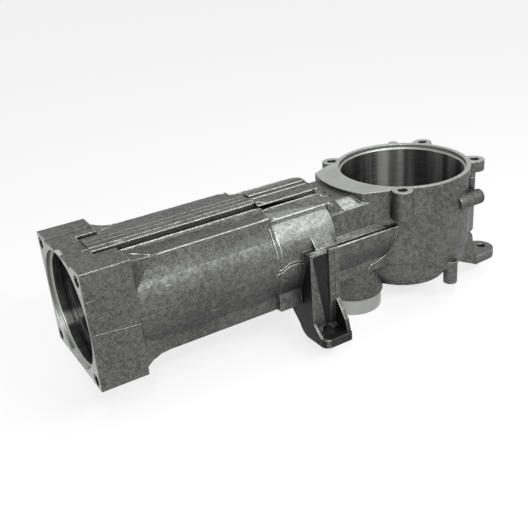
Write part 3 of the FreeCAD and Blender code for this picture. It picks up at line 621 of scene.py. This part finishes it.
CLEAR_LINES = (
    (COLLAR_SEAM, 0.35),
    (tuple((x, y, z - COLLAR_SEAM_GAP) for x, y, z in COLLAR_SEAM), 0.35),
    (((-232.0, -14.6, 5.6), (-129.0, -14.6, 5.6)), 0.50),
    (((-239.0, -9.6, 7.60), (-128.8, -9.6, 7.60)), 0.40),
    (((-219.0, -22.0, 5.4), (-216.1, -22.8, 4.8), (-213.1, -24.6, 4.3), (-211.2, -26.8, 4.1),
      (-208.8, -28.4, 4.0)), 0.42),
    (((-236.0, -2.5, 9.15), (-129.0, -2.5, 9.15)), 0.36),
    (((-122.6, -17.9, 5.2), (-92.4, -17.9, 5.2), (-86.5, -17.0, 5.0), (-85.5, -14.6, 4.6)), 0.48),
    (((-128.4, -10.7, 8.2), (-125.5, -10.8, 8.1), (-124.3, -12.4, 7.6), (-122.0, -13.4, 7.3)),
     0.45),
    (((-128.4, -12.7, 5.4), (-126.8, -13.6, 4.6), (-126.3, -15.9, 4.2), (-127.0, -18.4, 4.9),
      (-122.6, -17.9, 5.2)), 0.45),
    (((-128.5, -1.1, 9.1), (-128.4, -3.5, 9.1), (-128.0, -6.5, 9.1)), 0.30),
)
BRIGHT_LINES = (
    (((-130.9, -29.8, -2.5), (-130.6, -31.0, -5.1), (-130.4, -32.0, -8.3), (-130.2, -33.0, -10.6),
      (-130.0, -34.1, -13.0), (-129.9, -35.1, -15.4), (-129.8, -36.0, -18.4),
      (-129.7, -36.8, -21.8)), 0.45),
    (((-127.4, -29.9, -4.8), (-127.2, -31.5, -7.0), (-127.1, -33.2, -9.9), (-127.2, -34.6, -12.6),
      (-127.1, -35.9, -15.7), (-127.1, -36.6, -18.2), (-127.2, -37.2, -20.6)), 0.42),
    (((-134.8, -29.0, 3.5), (-132.0, -28.1, 3.7), (-129.8, -27.8, 3.6), (-126.2, -26.4, 2.1),
      (-123.8, -27.3, 1.3)), 0.48),
    (((-83.5, -11.9, 6.1), (-80.0, -10.1, 3.9), (-70.0, -4.0, -2.3)), 0.40),
    (((-85.5, -14.6, 4.6), (-84.5, -19.0, 4.0), (-82.0, -19.5, 2.3), (-77.2, -16.1, 0.7),
      (-70.0, -9.4, -2.3)), 0.40),
    (((-84.9, -26.8, 1.1), (-82.4, -26.6, -0.3), (-80.0, -26.4, -1.7)), 0.45),
)
LINE_STEP = 2.0 * MM
LINE_WANDER = 0.3
LIP_STEP = 2.5 * MM
LIP_WANDER = 0.35


def raised(lines):
    """Both sides' tubes of a set of raised lines."""
    return [(divide(line, LINE_STEP), thickness * MM, LINE_WANDER)
            for points, thickness in lines for line in both_sides(points)]


def lip_tubes(spans, wanted):
    """Tubes of the bright lips, or of the others."""
    return [(divide([start, end], LIP_STEP), LIP_RADIUS, LIP_WANDER)
            for start, end, bright in spans if bright == wanted]


# Thread of a flange bolt hole: it starts inside the face.
THREAD_RADIUS = 3.4 * MM
THREAD_DEPTH = 12 * MM
THREAD_PITCH = 1.25 * MM
THREAD_START = 0.6 * MM
THREAD_HALF = 0.30 * MM
STEPS_A_TURN = 24


def thread(mouth):
    """Helix into the flange from the middle of a hole's mouth."""
    turns = int(THREAD_DEPTH / THREAD_PITCH)
    return [mouth + Vector((THREAD_START + THREAD_PITCH * step / STEPS_A_TURN,
                            THREAD_RADIUS * math.cos(math.tau * step / STEPS_A_TURN),
                            THREAD_RADIUS * math.sin(math.tau * step / STEPS_A_TURN)))
            for step in range(STEPS_A_TURN * turns + 1)]


# Shoulder of the barrel beside its top band, (y, z) of one side in millimetres, and its two ends.
SHOULDER = ((-7.3, 9.0), (-8.6, 8.6), (-9.8, 7.8), (-9.8, 4.2), (-7.3, 4.2))
SHOULDER_ENDS = (-241.0, -128.6)


def shoulder_piece():
    """Two long strips that narrow the valleys beside the barrel's top band."""
    shape = bmesh.new()
    for side in (1, -1):
        near, far = ([shape.verts.new(Vector((x, y * side, z)) * MM) for y, z in SHOULDER]
                     for x in SHOULDER_ENDS)
        join_rings(shape, near, far)
        shape.faces.new(near)
        shape.faces.new(far)
    bmesh.ops.recalc_face_normals(shape, faces=shape.faces)
    new_piece("band_shoulders", shape, cast_material("skin_of_band_shoulders"))


shoulder_piece()
lip_spans = housing_piece()
# Lips and raised lines are lightened over most of their skin: a painted highlight along them, partly
# wear.
for name, wanted, shine in (("rail_lips", False, WEAR_AND_SHEEN_GREY), ("collar_lips", True, HIGHLIGHT_GREY)):
    tubes_piece(name, lip_tubes(lip_spans, wanted), cast_material("skin_of_" + name, 0.9, shine))
for name, lines, wear_and_sheen_share, shine in (("faint_lines", FAINT_LINES, 0.12, WEAR_AND_SHEEN_GREY),
                                   ("clear_lines", CLEAR_LINES, 0.8, WEAR_AND_SHEEN_GREY),
                                   ("bright_lines", BRIGHT_LINES, 1.0, HIGHLIGHT_GREY)):
    tubes_piece(name, raised(lines), cast_material("skin_of_" + name, wear_and_sheen_share, shine))
mouths = [Vector((FLANGE_X, side * BOLT_SPREAD, AXIS_Z + rise * BOLT_SPREAD))
          for side in (-1, 1) for rise in (-1, 1)]
# The threads are near white: a painted highlight inside the dark holes.
tubes_piece("bolt_threads", [(thread(mouth), THREAD_HALF, 0.0) for mouth in mouths],
            cast_material("thread_metal", 1.0, THREAD_HIGHLIGHT_GREY))

# ---------------------------------------------------------------- floor, world and lights
lowest, highest = cad_box
middle = (lowest + highest) / 2
FLOOR_Z = lowest.z - 0.4 * MM
FLOOR_SIZE = 6.0
FLOOR_GREY = 0.86
FLOOR_GLOW = 0.76
DOME_LOW, DOME_HIGH, DOME_TOP = 0.40, 0.65, 0.9
WHITE = (1, 1, 1, 1)
LAMP_DISTANCE = 0.9


def seen(nodes):
    """One for rays from the camera and for mirrored and transmitted ones."""
    path = nodes.add("ShaderNodeLightPath")
    through = nodes.math("MAXIMUM", path.outputs["Is Glossy Ray"],
                         path.outputs["Is Transmission Ray"])
    return nodes.math("MAXIMUM", path.outputs["Is Camera Ray"], through)


def floor():
    """Pale floor that takes the housing's shadow and is seen nearly white."""
    bpy.ops.mesh.primitive_plane_add(size=FLOOR_SIZE, location=(0, 0, FLOOR_Z))
    plane = bpy.context.object
    plane.name = "floor"
    material, nodes = new_material("pale_floor")
    diffuse = nodes.add("ShaderNodeBsdfDiffuse")
    diffuse.inputs["Color"].default_value = (FLOOR_GREY, FLOOR_GREY, FLOOR_GREY, 1)
    glow = nodes.add("ShaderNodeEmission")
    glow.inputs["Color"].default_value = WHITE
    blend = nodes.add("ShaderNodeMixShader")
    nodes.feed(blend.inputs[0], nodes.times(seen(nodes), FLOOR_GLOW))
    nodes.feed(blend.inputs[1], diffuse.outputs[0])
    nodes.feed(blend.inputs[2], glow.outputs[0])
    output = nodes.add("ShaderNodeOutputMaterial")
    nodes.feed(output.inputs["Surface"], blend.outputs[0])
    plane.data.materials.append(material)


def world():
    """Soft dome, a little stronger overhead, seen as white."""
    surround = bpy.data.worlds.new("studio")
    bpy.context.scene.world = surround
    surround.use_nodes = True
    surround.node_tree.nodes.clear()
    nodes = Nodes(surround.node_tree)
    direction = nodes.add("ShaderNodeTexCoord").outputs["Generated"]
    dome = nodes.ramp(nodes.part(direction, "Z"), 0.0, DOME_TOP, DOME_LOW, DOME_HIGH)
    back = nodes.add("ShaderNodeBackground")
    back.inputs["Color"].default_value = WHITE
    nodes.feed(back.inputs["Strength"], nodes.math("MAXIMUM", dome, seen(nodes)))
    output = nodes.add("ShaderNodeOutputWorld")
    nodes.feed(output.inputs["Surface"], back.outputs[0])


def lamp(name, direction, size, power, aim=middle):
    """Rectangular lamp that looks at a point: its sides in metres, its power in watts."""
    light = bpy.data.lights.new(name, "AREA")
    light.shape = "RECTANGLE"
    light.size, light.size_y = size
    light.energy = power
    thing = bpy.data.objects.new(name, light)
    bpy.context.scene.collection.objects.link(thing)
    thing.location = aim + Vector(direction).normalized() * LAMP_DISTANCE
    thing.rotation_mode = "QUATERNION"
    thing.rotation_quaternion = (aim - thing.location).to_track_quat("-Z", "Y")


floor()
world()
lamp("key", (0.28, -0.74, 0.60), (0.50, 0.40), 1.7)
lamp("overhead", (0.45, -0.12, 0.88), (0.40, 0.30), 1.2)
lamp("side_strip", (0.17, -0.77, 0.62), (0.50, 0.014), 3.2, aim=Vector((-0.16, 0, -0.03)))
lamp("front_strip", (-0.50, -0.63, 0.60), (0.012, 0.40), 3.6, aim=Vector((0, 0, -0.02)))

# ---------------------------------------------------------------- camera
# Place, lens and directions of the photograph's own camera, fitted to it by a scratch script.
LENS = 52.56
SENSOR = 36.0
NEAREST_SEEN = 0.01
EYE = Vector((-347.6, -403.9, 187.8)) * MM
RIGHT = Vector((0.84965, -0.52205, -0.07456))
AHEAD = Vector((0.44067, 0.78053, -0.44338))
camera_data = bpy.data.cameras.new("camera")
camera_data.lens = LENS
camera_data.sensor_width = SENSOR
camera_data.clip_start = NEAREST_SEEN
camera = bpy.data.objects.new("camera", camera_data)
bpy.context.scene.collection.objects.link(camera)
camera.matrix_world = Matrix.Translation(EYE) @ Matrix(
    (RIGHT, RIGHT.cross(AHEAD), -AHEAD)).transposed().to_4x4()
bpy.context.scene.camera = camera
bpy.context.scene.view_settings.view_transform = "Standard"
